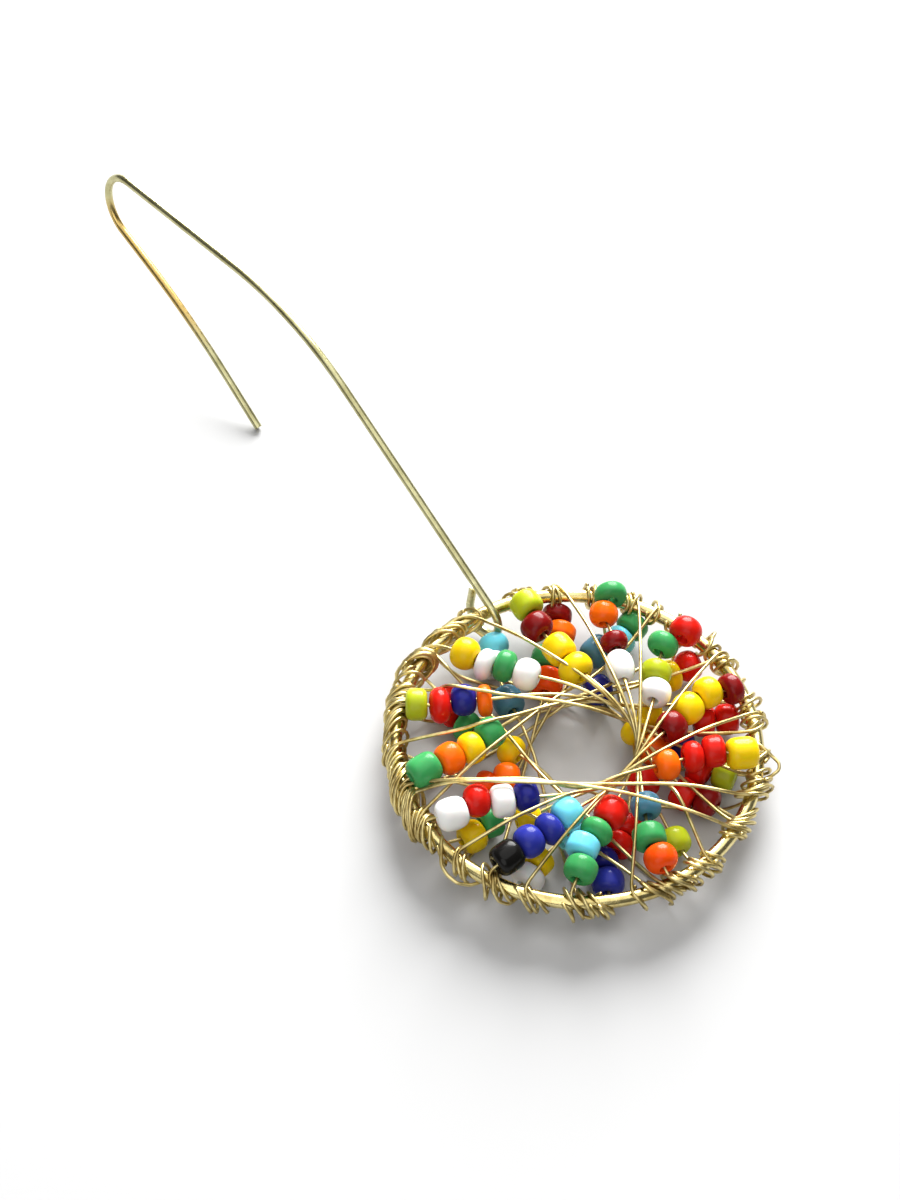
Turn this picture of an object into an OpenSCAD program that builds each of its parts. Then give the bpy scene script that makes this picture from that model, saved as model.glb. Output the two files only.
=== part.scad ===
// Beaded drop earring: a wire hoop wound with thin wire on both faces, glass
// seed beads strung on it, and a long open ear hook whose eye holds the rim.
// Millimetres. The origin lies on the surface under the hoop's centre, +Z is up,
// and angles run counterclockwise from +X as seen from above.

/* [Hoop] */
// Radius of the hoop, to the middle of its wire
hoop_r = 16.8; // [15.5:0.1:18]
// Diameter of the hoop's wire
hoop_wire_d = 1.3; // [1:0.1:1.5]

/* [Ear hook] */
// Diameter of the ear hook's wire
hook_wire_d = 0.8; // [0.6:0.05:0.9]
// Place of the eye along the hoop, in degrees
eye_angle = 122.1; // [121:0.1:123]
// Radius of the eye, to the middle of its wire
eye_r = 2; // [1.8:0.1:2.4]
// How far round the eye's bend goes, in degrees
eye_turn = 245; // [230:1:255]
// Straight tail that closes the eye
eye_tail = 2.4; // [1:0.1:2.4]
// Gap between the hoop and the strand that lies over it
eye_gap = 0.34; // [0.2:0.02:0.5]
// Offset of the eye's middle from the hoop's wire, along the leg
eye_offset = -0.18; // [-0.3:0.02:0.3]
// Direction in which the hook leaves the hoop, seen from above
hook_azimuth = 131.6; // [125:0.1:138]
// Lean of the hook's plane from upright, in degrees
hook_lean = 6; // [0:1:12]
// Straight run of the leg, from the eye to its first bend
leg_run = 25.3; // [20:0.1:30]
// Radius of the leg's slow first bend
shoulder_r = 33; // [20:1:45]
// Turn of the first bend, in degrees
shoulder_turn = 30.4; // [20:0.1:40]
// Straight run from the first bend to the top bend
upper_run = 17.3; // [12:0.1:22]
// Radius of the top bend, where the hook hangs in the ear
top_r = 3.7; // [3:0.1:6]
// Turn of the top bend, in degrees
top_turn = 157.5; // [140:0.5:165]
// Straight run after the top bend
return_run = 4.3; // [2:0.1:8]
// Radius of the slow outward bend of the back leg
flare_r = 72; // [50:1:100]
// Turn of the outward bend, in degrees
flare_turn = 11.7; // [0.5:0.1:20]
// Straight run that ends in the cut tip
tip_run = 6; // [3:0.1:10]

/* [Beads] */
// Outer diameter of a bead
bead_d = 3.1; // [2.8:0.05:3.1]
// Length of a bead along its bore
bead_len = 2.1; // [1.9:0.05:2.1]
// Rounding of a bead's ends
bead_round = 0.6; // [0.2:0.05:0.8]
// Diameter of the bore
bore_d = 1; // [0.8:0.05:1.1]
// Distance between the middles of two beads in a row
bead_pitch = 2.2; // [2.2:0.01:2.25]

/* [Thin wire] */
// Diameter of the thin wire
wire_d = 0.25; // [0.2:0.01:0.26]
// Distance from the hoop's centre to where each strand turns
knee_r = 4.9; // [4.8:0.05:5]
// Height of the bead layers over the hoop's mid-plane
layer_z = 1.8; // [1.78:0.01:1.84]
// Height of the front's bare strands over the mid-plane
front_z = 3.12; // [3.1:0.01:3.2]
// Height of the back's bare strands, on which the hoop lies
back_z = 3.62; // [3.6:0.01:3.8]

/* [Rim wraps] */
// Distance between turns of thin wire round the hoop, in degrees
wrap_step = 1.5; // [1.4:0.1:2]
// Lean of each turn, in degrees
wrap_lean = 12; // [0:1:15]
// Stretch of the hoop that is wrapped after each front strand, in degrees
wrap_reach = 5.5; // [2:0.1:8]

/* [Hidden] */
$fn = 32;
FRONT = 1;
BACK = -1;
CLOCKWISE = -1;
COUNTER = 1;

// The hoop's middle lies as high as its back strands lift it
mid_z = back_z + wire_d / 2;
seat_gap = 0.09;
rim_z = hoop_wire_d / 2 + wire_d / 2 + seat_gap;

// Where each strand turns, it climbs from its clockwise half to its other half
turn_half = 1.8;
turn_slope = 0.38;
turn_z = 1.9;

// Where a bare strand dives: it runs level between its two distances from the turn
dive_start = 3.2;
dive_start_z = 0.6;
dive_flat = [4.4, 14.5];
// Where a bare strand on top is level, measured the same way
front_flat = [5, 11];
front_rim_z = 2.8;
back_flat = [5.2, 14.3];
climb = 1.8;
climb_margin = 0.5;

// Where a beaded strand meets its row of beads
row_entry = 1.2;
row_slope = 0.2;
row_end_drop = 0.1;

// Strands of the front. Columns: rim angle at the beads' end, rim angle at the
// bare end, distance from the rim to the first bead, beads before the row's gap,
// that gap, the beads' colour letters from the rim inward, 1 if it dives beneath
front_rows = [
    [145, 349, 2.9, 4, 0,   "YWGW", 1],
    [171,  19, 2.0, 4, 0,   "LRNO", 1],
    [200,  48, 2.3, 4, 0,   "GOYG", 1],
    [215,  13, 2.0, 1, 0.9, "WRWN", 0],
    [242,  38, 2.0, 1, 0.7, "KBBS", 0],
    [268,  70, 2.7, 1, 0.3, "GSGR", 0],
    [300,  95, 2.2, 2, 0.7, "TGD",  0],
    [330, 128, 0,   0, 0,   "",     1],
    [358, 203, 1.9, 3, 0.1, "YRRO", 0],
    [ 25, 230, 1.9, 4, 0,   "MYYM", 0],
    [ 56, 254, 1.9, 4, 0,   "RGLW", 0],
    [ 83, 287, 1.9, 2, 1.4, "GOMW", 0],
    [111, 314, 1.9, 2, 0.8, "LMYY", 0]
];
// Strands of the back, in the same columns
back_rows = [
    [ 18, 169, 1.9, 4, 0,   "RRYY", 0],
    [ 44, 198, 1.9, 2, 3.9, "RYN",  0],
    [ 70, 232, 1.9, 4, 0,   "GSD",  0],
    [ 97, 243, 1.9, 4, 0,   "MOGT", 0],
    [128, 274, 1.9, 2, 2.2, "SWD",  0],
    [153, 304, 2.4, 3, 1.8, "RRGY", 0],
    [185, 344, 8.2, 4, 0,   "TO",   0],
    [222,  10, 2.9, 2, 0.3, "YGY",  0],
    [251,  54, 2.2, 2, 2.2, "WYS",  0],
    [281,  82, 2.2, 2, 0,   "BNRR", 0],
    [312, 106, 4.1, 1, 3.6, "LR",   0],
    [335, 139, 3.6, 4, 0,   "MR",   0],
    [353, 145, 1.9, 4, 0,   "LRNO", 0]
];
BEADED_END = 0;
BARE_END = 1;
FIRST = 2;
SPLIT = 3;
GAP = 4;
LETTERS = 5;
DIVES = 6;
// The front strand that was wound first; each later one crosses over it
first_knee_angle = 280.5;

wire_sides = 6;
wrap_play = 0.05;
wrap_clear = 1.8;
wrap_clear_eye = 3;

function polar(r, angle) = [r * cos(angle), r * sin(angle)];
function turned(from, to) = (to - from + 360) % 360;
function apart(a, b) = min(turned(a, b), turned(b, a));

// A strand's two rim angles, clockwise end first, the short way round
function beads_clockwise(row) = turned(row[BEADED_END], row[BARE_END]) < 180;
function rim_angles(row) =
    let (start = beads_clockwise(row) ? row[BEADED_END] : row[BARE_END],
         end = beads_clockwise(row) ? row[BARE_END] : row[BEADED_END])
    [start, start + turned(start, end)];
function knee_angle(row) = (rim_angles(row)[0] + rim_angles(row)[1]) / 2;
function knee(row) = polar(knee_r, knee_angle(row));
function rim_point(row, side) = polar(hoop_r, rim_angles(row)[side == CLOCKWISE ? 0 : 1]);
function half_length(row, side) = norm(rim_point(row, side) - knee(row));
function beaded_side(row) = beads_clockwise(row) ? CLOCKWISE : COUNTER;

// A bead's distance from the rim, along its strand
function bead_place(row, i) =
    row[FIRST] + i * bead_pitch + (i >= row[SPLIT] ? row[GAP] : 0);

// Stations of half a strand: distance from its turn, height over the mid-plane
function turn_edge(side) = turn_z + side * turn_slope * turn_half;
function beaded_half(row, side) =
    let (length = half_length(row, side),
         inner = length - bead_place(row, len(row[LETTERS]) - 1) - bead_len / 2,
         outer = length - bead_place(row, 0) + bead_len / 2)
    [[turn_half, turn_edge(side)],
     [inner - row_entry, turn_edge(side)],
     [inner, layer_z + side * row_slope],
     [outer + row_end_drop, layer_z - row_end_drop],
     [length, rim_z]];
function diving_half(row) =
    [[turn_half, turn_edge(CLOCKWISE)],
     [dive_start, dive_start_z],
     [dive_flat[0], 0],
     [dive_flat[1], 0],
     [half_length(row, CLOCKWISE), rim_z]];
// A later strand stays low until it has crossed the ones wound before it
function last_crossing(row) =
    knee_r * tan(turned(first_knee_angle, knee_angle(row)) / 2) + climb_margin;
function rising_half(row) =
    let (level = max(turn_half + 0.01, last_crossing(row)))
    [[turn_half, turn_edge(CLOCKWISE)],
     [level, turn_edge(CLOCKWISE)],
     [max(level + climb, front_flat[0]), front_z],
     [front_flat[1], front_rim_z],
     [half_length(row, CLOCKWISE), rim_z]];
function top_half(row, face) =
    [[turn_half, turn_edge(COUNTER)],
     [face == FRONT ? front_flat[0] : back_flat[0], face == FRONT ? front_z : back_z],
     [face == FRONT ? front_flat[1] : back_flat[1], face == FRONT ? front_rim_z : back_z],
     [half_length(row, COUNTER), rim_z]];
function half_stations(row, side, face) =
    side == beaded_side(row) && len(row[LETTERS]) > 0 ? beaded_half(row, side)
    : side == COUNTER ? top_half(row, face)
    : row[DIVES] == 1 ? diving_half(row)
    : rising_half(row);

// A strand's points from its clockwise end to its other end
function half_points(row, side, face) =
    let (way = (rim_point(row, side) - knee(row)) / half_length(row, side))
    [for (s = half_stations(row, side, face))
        let (flat = knee(row) + s[0] * way)
        [flat[0], flat[1], mid_z + face * s[1]]];
function reversed(list) = [for (i = [len(list) - 1 : -1 : 0]) list[i]];
function strand_points(row, face) =
    concat(reversed(half_points(row, CLOCKWISE, face)), half_points(row, COUNTER, face));

function unit(v) = v / norm(v);

// A round wire through a list of points, as one closed solid
module swept_wire(points, d) {
    last = len(points) - 1;
    rings = [for (i = [0 : last])
        let (way = unit(points[min(i + 1, last)] - points[max(i - 1, 0)]),
             across = unit(cross([0, 0, 1], way)),
             up = cross(way, across))
        for (k = [0 : wire_sides - 1])
            let (turn = 360 * (k + 0.5) / wire_sides)
            points[i] + d / 2 * (cos(turn) * across + sin(turn) * up)];
    walls = [for (i = [0 : last - 1], k = [0 : wire_sides - 1])
        let (a = i * wire_sides + k,
             b = i * wire_sides + (k + 1) % wire_sides)
        each [[a, a + wire_sides, b], [b, a + wire_sides, b + wire_sides]]];
    first_cap = [for (k = [0 : wire_sides - 1]) k];
    last_cap = [for (k = [wire_sides - 1 : -1 : 0]) last * wire_sides + k];
    polyhedron(rings, concat(walls, [first_cap, last_cap]));
}

module hoop() {
    color([0.80, 0.68, 0.42])
        translate([0, 0, mid_z])
            rotate_extrude($fn = 96)
                translate([hoop_r, 0])
                    circle(d = hoop_wire_d);
}

module front_wires() {
    color([0.78, 0.64, 0.38])
        for (row = front_rows)
            swept_wire(strand_points(row, FRONT), wire_d);
}

module back_wires() {
    color([0.78, 0.64, 0.38])
        for (row = back_rows)
            swept_wire(strand_points(row, BACK), wire_d);
}

// Turns of thin wire round the hoop, behind each front strand and clear of the rest
front_ends = [for (row = front_rows) each [row[BEADED_END], row[BARE_END]]];
back_ends = [for (row = back_rows) each [row[BEADED_END], row[BARE_END]]];
function clear_of_ends(angle) =
    min([for (end = concat(front_ends, back_ends)) apart(angle, end)]) >= wrap_clear;
function behind_strand(angle) =
    min([for (end = front_ends) turned(end, angle)]) <= wrap_reach;
wrap_angles = [for (angle = [0 : wrap_step : 359])
    if (clear_of_ends(angle) && behind_strand(angle)
        && apart(angle, eye_angle) >= wrap_clear_eye) angle];

module rim_wraps() {
    turn_r = hoop_wire_d / 2 + wrap_play + wire_d / 2;
    color([0.78, 0.64, 0.38])
        for (angle = wrap_angles)
            translate([0, 0, mid_z])
                rotate(angle)
                    translate([hoop_r, 0, 0])
                        rotate([90 + wrap_lean, 0, 0])
                            rotate_extrude($fn = 24)
                                translate([turn_r, 0])
                                    circle(d = wire_d, $fn = 16);
}

// The hook is drawn in its own plane: x along the leg, y down toward the tip's
// side, with the middle of the hoop's wire at the origin
strand_y = -(hoop_wire_d / 2 + hook_wire_d / 2 + eye_gap);
hook_start = [eye_offset, strand_y];
eye_middle = hook_start + [0, eye_r];
// Columns: straight run, radius of the bend after it, turn toward the tip's side
hook_bends = [
    [leg_run,    shoulder_r, shoulder_turn],
    [upper_run,  top_r,      top_turn],
    [return_run, flare_r,    -flare_turn],
    [tip_run,    0,          0]
];
function run_end(at, heading, run) = at + run * [cos(heading), sin(heading)];
function bend_centre(at, heading, bend) =
    at + sign(bend[2]) * bend[1] * [-sin(heading), cos(heading)];
function bend_end(at, heading, bend) =
    bend_centre(at, heading, bend)
    + sign(bend[2]) * bend[1] * [sin(heading + bend[2]), -cos(heading + bend[2])];
// Place and heading at the start of each run
function hook_at(i) =
    i == 0 ? hook_start
    : bend_end(run_end(hook_at(i - 1), hook_heading(i - 1), hook_bends[i - 1][0]),
               hook_heading(i - 1), hook_bends[i - 1]);
function hook_heading(i) = i == 0 ? 0 : hook_heading(i - 1) + hook_bends[i - 1][2];
hook_tip = run_end(hook_at(3), hook_heading(3), tip_run);

// The leg's rise, such that the tip touches the surface: over the hoop's wire, the
// tip's height is x sin(rise) - y cos(lean) cos(rise)
tip_height = 0.374;
tip_drop = tip_height - mid_z;
tip_across = hook_tip[1] * cos(hook_lean);
hook_rise = asin(tip_drop / norm([hook_tip[0], tip_across])) + atan2(tip_across, hook_tip[0]);

// Straights run a little way into the bends, which are a hair thicker, so that
// every joint of the wire has a true edge
joint_lap = 0.05;
bend_swell = 0.01;

module straight(at, heading, run) {
    translate([at[0], at[1], 0])
        rotate([0, 90, heading])
            translate([0, 0, -joint_lap])
                cylinder(d = hook_wire_d, h = run + 2 * joint_lap);
}

// A bend round a centre, from one angle through a positive turn
module bent(centre, r, from, turn) {
    translate([centre[0], centre[1], 0])
        rotate(from)
            rotate_extrude(angle = turn, $fn = 96)
                translate([r, 0])
                    circle(d = hook_wire_d + bend_swell, $fn = 24);
}

module hook_bend(at, heading, bend) {
    side = sign(bend[2]);
    from = heading - side * 90;
    bent(bend_centre(at, heading, bend), bend[1], side > 0 ? from : from + bend[2],
         abs(bend[2]));
}

module flat_hook() {
    for (i = [0 : len(hook_bends) - 1]) {
        straight(hook_at(i), hook_heading(i), hook_bends[i][0]);
        if (hook_bends[i][1] > 0)
            hook_bend(run_end(hook_at(i), hook_heading(i), hook_bends[i][0]),
                      hook_heading(i), hook_bends[i]);
    }
    eye_end = -90 - eye_turn;
    bent(eye_middle, eye_r, eye_end, eye_turn);
    straight(eye_middle + polar(eye_r, eye_end), eye_end - 90, eye_tail);
}

module ear_hook() {
    color([0.80, 0.68, 0.42])
        translate([hoop_r * cos(eye_angle), hoop_r * sin(eye_angle), mid_z])
            rotate([hook_lean - 90, -hook_rise, hook_azimuth])
                flat_hook();
}

// Half of a bead's section, with its bore on the axis
module bead_section() {
    bore = bore_d / 2;
    wall = bead_d / 2 - bore;
    translate([bore, bead_round - bead_len / 2])
        square([wall, bead_len - 2 * bead_round]);
    translate([bore, -bead_len / 2])
        square([wall - bead_round, bead_len]);
    for (end = [-1, 1])
        translate([bead_d / 2 - bead_round, end * (bead_len / 2 - bead_round)])
            circle(bead_round);
}

module bead() {
    rotate([0, 90, 0])
        rotate_extrude()
            bead_section();
}

// Every bead of one colour letter on one face
module beads_on(rows, face, letter) {
    for (row = rows) {
        side = beaded_side(row);
        start = rim_point(row, side);
        way = (knee(row) - start) / half_length(row, side);
        for (i = [0 : 1 : len(row[LETTERS]) - 1])
            if (row[LETTERS][i] == letter) {
                place = start + bead_place(row, i) * way;
                translate([place[0], place[1], mid_z + face * layer_z])
                    rotate(atan2(way[1], way[0]))
                        bead();
            }
    }
}

module beads_of(letter) {
    beads_on(front_rows, FRONT, letter);
    beads_on(back_rows, BACK, letter);
}

module beads_yellow() { color([0.98, 0.84, 0.10]) beads_of("Y"); }
module beads_white() { color([0.94, 0.94, 0.93]) beads_of("W"); }
module beads_green() { color([0.24, 0.65, 0.35]) beads_of("G"); }
module beads_lime() { color([0.75, 0.80, 0.18]) beads_of("L"); }
module beads_red() { color([0.88, 0.14, 0.10]) beads_of("R"); }
module beads_navy() { color([0.18, 0.18, 0.59]) beads_of("N"); }
module beads_orange() { color([0.98, 0.43, 0.08]) beads_of("O"); }
module beads_black() { color([0.10, 0.10, 0.10]) beads_of("K"); }
module beads_blue() { color([0.24, 0.24, 0.71]) beads_of("B"); }
module beads_sky() { color([0.43, 0.84, 0.94]) beads_of("S"); }
module beads_coral() { color([0.98, 0.31, 0.05]) beads_of("T"); }
module beads_teal() { color([0.35, 0.57, 0.74]) beads_of("D"); }
module beads_garnet() { color([0.51, 0.07, 0.09]) beads_of("M"); }

hoop();
ear_hook();
rim_wraps();
front_wires();
back_wires();
beads_yellow();
beads_white();
beads_green();
beads_lime();
beads_red();
beads_navy();
beads_orange();
beads_black();
beads_blue();
beads_sky();
beads_coral();
beads_teal();
beads_garnet();
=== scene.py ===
import math
import random

import bpy
import numpy as np
from mathutils import Matrix, Vector


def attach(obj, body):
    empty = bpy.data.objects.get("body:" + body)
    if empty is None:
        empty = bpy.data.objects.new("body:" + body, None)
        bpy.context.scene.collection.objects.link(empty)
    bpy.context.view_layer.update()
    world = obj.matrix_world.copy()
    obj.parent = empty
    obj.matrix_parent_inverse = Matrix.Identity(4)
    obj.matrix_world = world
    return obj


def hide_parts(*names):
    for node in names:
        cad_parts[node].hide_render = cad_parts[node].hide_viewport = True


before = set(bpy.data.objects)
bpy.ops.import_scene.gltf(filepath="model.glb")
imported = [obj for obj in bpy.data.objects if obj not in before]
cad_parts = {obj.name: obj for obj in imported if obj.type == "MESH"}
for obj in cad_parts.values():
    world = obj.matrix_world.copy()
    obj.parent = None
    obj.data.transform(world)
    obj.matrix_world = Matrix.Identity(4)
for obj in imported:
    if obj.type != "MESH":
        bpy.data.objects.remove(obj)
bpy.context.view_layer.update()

# Beaded drop earring lying on a pale studio floor. Metres, floor at z = 0, hoop centred
# over the origin. Angles on the hoop run counterclockwise from +X, seen from above.
mm = 0.001
hoop = {
    "radius": 16.8 * mm,      # to the middle of its wire
    "wire": 1.3 * mm,
    "height": 3.745 * mm,     # the wire's middle over the floor
}
weldWithin = {"solids": 0.002 * mm, "wire": 0.001 * mm}    # points this near become one


# tools used by every piece

def deselectAll():
    if bpy.context.object and bpy.context.object.mode != "OBJECT":
        bpy.ops.object.mode_set(mode="OBJECT")
    bpy.ops.object.select_all(action="DESELECT")


def makeActive(piece):
    deselectAll()
    piece.select_set(True)
    bpy.context.view_layer.objects.active = piece


def clearSelection(piece):
    # in object mode, where the mesh can be read and marked
    bpy.ops.object.mode_set(mode="OBJECT")
    for part in (piece.data.vertices, piece.data.edges, piece.data.polygons):
        part.foreach_set("select", [False] * len(part))


def selectFaces(piece, wanted):
    # selects the faces that wanted(face) accepts, and goes into edit mode
    clearSelection(piece)
    for face in piece.data.polygons:
        face.select = wanted(face)
    bpy.ops.object.mode_set(mode="EDIT")


def selectEdges(piece, wanted):
    # the same for edges, whose two ends go to wanted(a, b)
    clearSelection(piece)
    spots = [v.co.copy() for v in piece.data.vertices]
    for edge in piece.data.edges:
        a, b = (spots[i] for i in edge.vertices)
        if wanted(a, b):
            edge.select = True
            for i in edge.vertices:
                piece.data.vertices[i].select = True
    bpy.ops.object.mode_set(mode="EDIT")


def solidPoints(name):
    # the points of each separate solid of a CAD node, in an order that never changes
    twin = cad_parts[name].copy()
    twin.data = twin.data.copy()
    for mark in list(twin.keys()):
        del twin[mark]
    twin.parent = None
    twin.hide_render = False
    twin.hide_viewport = False
    bpy.context.scene.collection.objects.link(twin)
    makeActive(twin)
    bpy.ops.object.mode_set(mode="EDIT")
    bpy.ops.mesh.select_all(action="SELECT")
    bpy.ops.mesh.remove_doubles(threshold=weldWithin["solids"])
    bpy.ops.mesh.separate(type="LOOSE")
    bpy.ops.object.mode_set(mode="OBJECT")
    clouds = []
    for part in list(bpy.context.selected_objects):
        clouds.append(np.array([v.co for v in part.data.vertices]))
        mesh = part.data
        bpy.data.objects.remove(part)
        bpy.data.meshes.remove(mesh)
    clouds.sort(key=lambda spots: tuple(np.round(spots.mean(0), 6)))
    return clouds


def wireMesh(name, runs, thickness, sides):
    # each run of points becomes a round wire, and all of them one piece
    bends = bpy.data.curves.new(name, "CURVE")
    bends.dimensions = "3D"
    bends.bevel_depth = thickness / 2
    bends.bevel_resolution = sides
    bends.use_fill_caps = True
    for run in runs:
        line = bends.splines.new("POLY")
        line.points.add(len(run) - 1)
        for point, spot in zip(line.points, run):
            point.co = (*spot, 1)
        line.use_smooth = True
    piece = bpy.data.objects.new(name, bends)
    bpy.context.scene.collection.objects.link(piece)
    makeActive(piece)
    bpy.ops.object.convert(target="MESH")
    piece = bpy.context.object
    bpy.ops.object.mode_set(mode="EDIT")
    bpy.ops.mesh.select_all(action="SELECT")
    bpy.ops.mesh.remove_doubles(threshold=weldWithin["wire"])
    bpy.ops.mesh.normals_make_consistent(inside=False)
    bpy.ops.object.mode_set(mode="OBJECT")
    bpy.ops.object.shade_smooth()
    return piece


# floor, lights and camera

studio = {
    "floorSize": 6.0,
    "floorCells": 8,
    "floorColour": (0.47, 0.47, 0.47),
    "floorDim": 0.985,                 # the darkest of its faint clouds, as a share of its colour
    "floorClouds": 9,
    "floorCloudDetail": 2,
    "floorRough": 0.75,
    "floorShine": 0.25,
    "skyLight": 0.12,
    "keyFrom": (0.12, 1.0, 0.59),      # behind the earring, as wide as a window
    "keyDistance": 0.9,
    "keySize": 0.68,
    "keyPower": 26.5,
    "panelFrom": (0.0, 0.1, 1.0),      # a wide soft panel overhead fills the shadow
    "panelDistance": 1.0,
    "panelSize": 1.4,
    "panelPower": 7.2,
    "fillFrom": (-0.25, -1.0, 0.75),   # from the front, for the near sides of the beads
    "fillDistance": 1.0,
    "fillSize": 0.9,
    "fillPower": 3.6,
}
camera = {
    "place": (-12.41 * mm, -120.07 * mm, 191.51 * mm),
    "tilt": 35.83,            # from straight down
    "roll": 3.0,              # about the line of sight
    "lens": 72,
    "sensor": 36,             # its height
    "clipStart": 0.01,
}


# a mix node's sockets when it mixes colours
mixFirst = 6
mixSecond = 7
mixColour = 2


def node(tree, kind, spot, **sockets):
    made = tree.nodes.new(kind)
    made.location = spot
    for name, value in sockets.items():
        made.inputs[name].default_value = value
    return made


def floorMaterial():
    paper = bpy.data.materials.new("paleFloor")
    paper.use_nodes = True
    shader = paper.node_tree.nodes["Principled BSDF"]
    shader.inputs["Roughness"].default_value = studio["floorRough"]
    shader.inputs["Specular IOR Level"].default_value = studio["floorShine"]
    links = paper.node_tree.links
    place = node(paper.node_tree, "ShaderNodeTexCoord", (-900, 0))
    cloud = node(paper.node_tree, "ShaderNodeTexNoise", (-700, 0), Scale=studio["floorClouds"],
                 Detail=studio["floorCloudDetail"])
    blend = node(paper.node_tree, "ShaderNodeMix", (-450, 0))
    blend.data_type = "RGBA"
    colour = studio["floorColour"]
    blend.inputs[mixFirst].default_value = tuple(c * studio["floorDim"] for c in colour) + (1,)
    blend.inputs[mixSecond].default_value = colour + (1,)
    links.new(place.outputs["Object"], cloud.inputs["Vector"])
    links.new(cloud.outputs["Fac"], blend.inputs["Factor"])
    links.new(blend.outputs[mixColour], shader.inputs["Base Color"])
    return paper


def softLight(name, direction, distance, size, power):
    lamp = bpy.data.lights.new(name, "AREA")
    lamp.shape = "DISK"
    lamp.size = size
    lamp.energy = power
    held = bpy.data.objects.new(name, lamp)
    way = Vector(direction).normalized()
    held.location = way * distance
    held.rotation_euler = way.to_track_quat("Z", "Y").to_euler()
    bpy.context.scene.collection.objects.link(held)


def buildStudio():
    deselectAll()
    bpy.ops.mesh.primitive_grid_add(x_subdivisions=studio["floorCells"],
                                    y_subdivisions=studio["floorCells"], size=studio["floorSize"])
    floor = bpy.context.object
    floor.name = "floor"
    floor.data.materials.append(floorMaterial())

    softLight("backKey", studio["keyFrom"], studio["keyDistance"], studio["keySize"],
              studio["keyPower"])
    softLight("panel", studio["panelFrom"], studio["panelDistance"], studio["panelSize"],
              studio["panelPower"])
    softLight("fill", studio["fillFrom"], studio["fillDistance"], studio["fillSize"],
              studio["fillPower"])

    sky = bpy.data.worlds.new("studioSky")
    sky.use_nodes = True
    bpy.context.scene.world = sky
    back = sky.node_tree.nodes["Background"]
    back.inputs["Color"].default_value = (1, 1, 1, 1)
    back.inputs["Strength"].default_value = studio["skyLight"]

    eye = bpy.data.cameras.new("camera")
    eye.sensor_fit = "VERTICAL"
    eye.sensor_height = camera["sensor"]
    eye.lens = camera["lens"]
    eye.clip_start = camera["clipStart"]
    held = bpy.data.objects.new("camera", eye)
    held.location = camera["place"]
    held.rotation_mode = "ZYX"
    held.rotation_euler = (math.radians(camera["tilt"]), 0, math.radians(camera["roll"]))
    bpy.context.scene.collection.objects.link(held)
    bpy.context.scene.camera = held
    bpy.context.scene.view_settings.view_transform = "Standard"
    print("studio ready")


# metal finishes

metals = {
    "hoop_wire": {"light": (0.81, 0.70, 0.33, 1), "dark": (0.48, 0.36, 0.12, 1), "rough": 0.22},
    "ear_wire": {"light": (0.56, 0.53, 0.29, 1), "dark": (0.40, 0.37, 0.18, 1), "rough": 0.26,
                 "warm": (0.58, 0.41, 0.14, 1)},
    "thin_wire": {"light": (0.74, 0.62, 0.28, 1), "dark": (0.39, 0.28, 0.09, 1), "rough": 0.33},
}
brass = {
    "drift": 420.0,           # slow change from pale to warm gold along the wire
    "driftDetail": 5.0,
    "driftRough": 0.65,
    "darkBelow": 0.36,
    "lightAbove": 0.58,
    "marks": 2600.0,          # drawing marks and handling wear, in the gloss
    "marksDetail": 4.0,
    "marksRough": 0.6,
    "glossier": 0.06,
    "duller": 0.12,
    "dents": 900.0,
    "dentDetail": 2.0,
    "dentStrength": 0.25,
    "dentDepth": 0.06 * mm,
    "smoothBelow": 50,        # sharper edges than this stay sharp on the hoop and the ear hook
}
# where the warm tone fades in on the leg that comes down from the top bend
warmLeg = {"Y": (44.5 * mm, 48.0 * mm), "Z": (14.0 * mm, 12.0 * mm)}


def warmed(tree, place, tint, warm):
    links = tree.links
    spot = node(tree, "ShaderNodeSeparateXYZ", (-1000, 600))
    links.new(place.outputs["Object"], spot.inputs["Vector"])
    share = node(tree, "ShaderNodeMath", (-550, 600))
    share.operation = "MULTIPLY"
    for i, (axis, (off, on)) in enumerate(warmLeg.items()):
        fade = node(tree, "ShaderNodeMapRange", (-800, 600 + 250 * i))
        fade.inputs["From Min"].default_value = off
        fade.inputs["From Max"].default_value = on
        links.new(spot.outputs[axis], fade.inputs["Value"])
        links.new(fade.outputs["Result"], share.inputs[i])
    blend = node(tree, "ShaderNodeMix", (-350, 400))
    blend.data_type = "RGBA"
    blend.inputs[mixSecond].default_value = warm
    links.new(share.outputs["Value"], blend.inputs["Factor"])
    links.new(tint.outputs["Color"], blend.inputs[mixFirst])
    return blend.outputs[mixColour]


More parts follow.
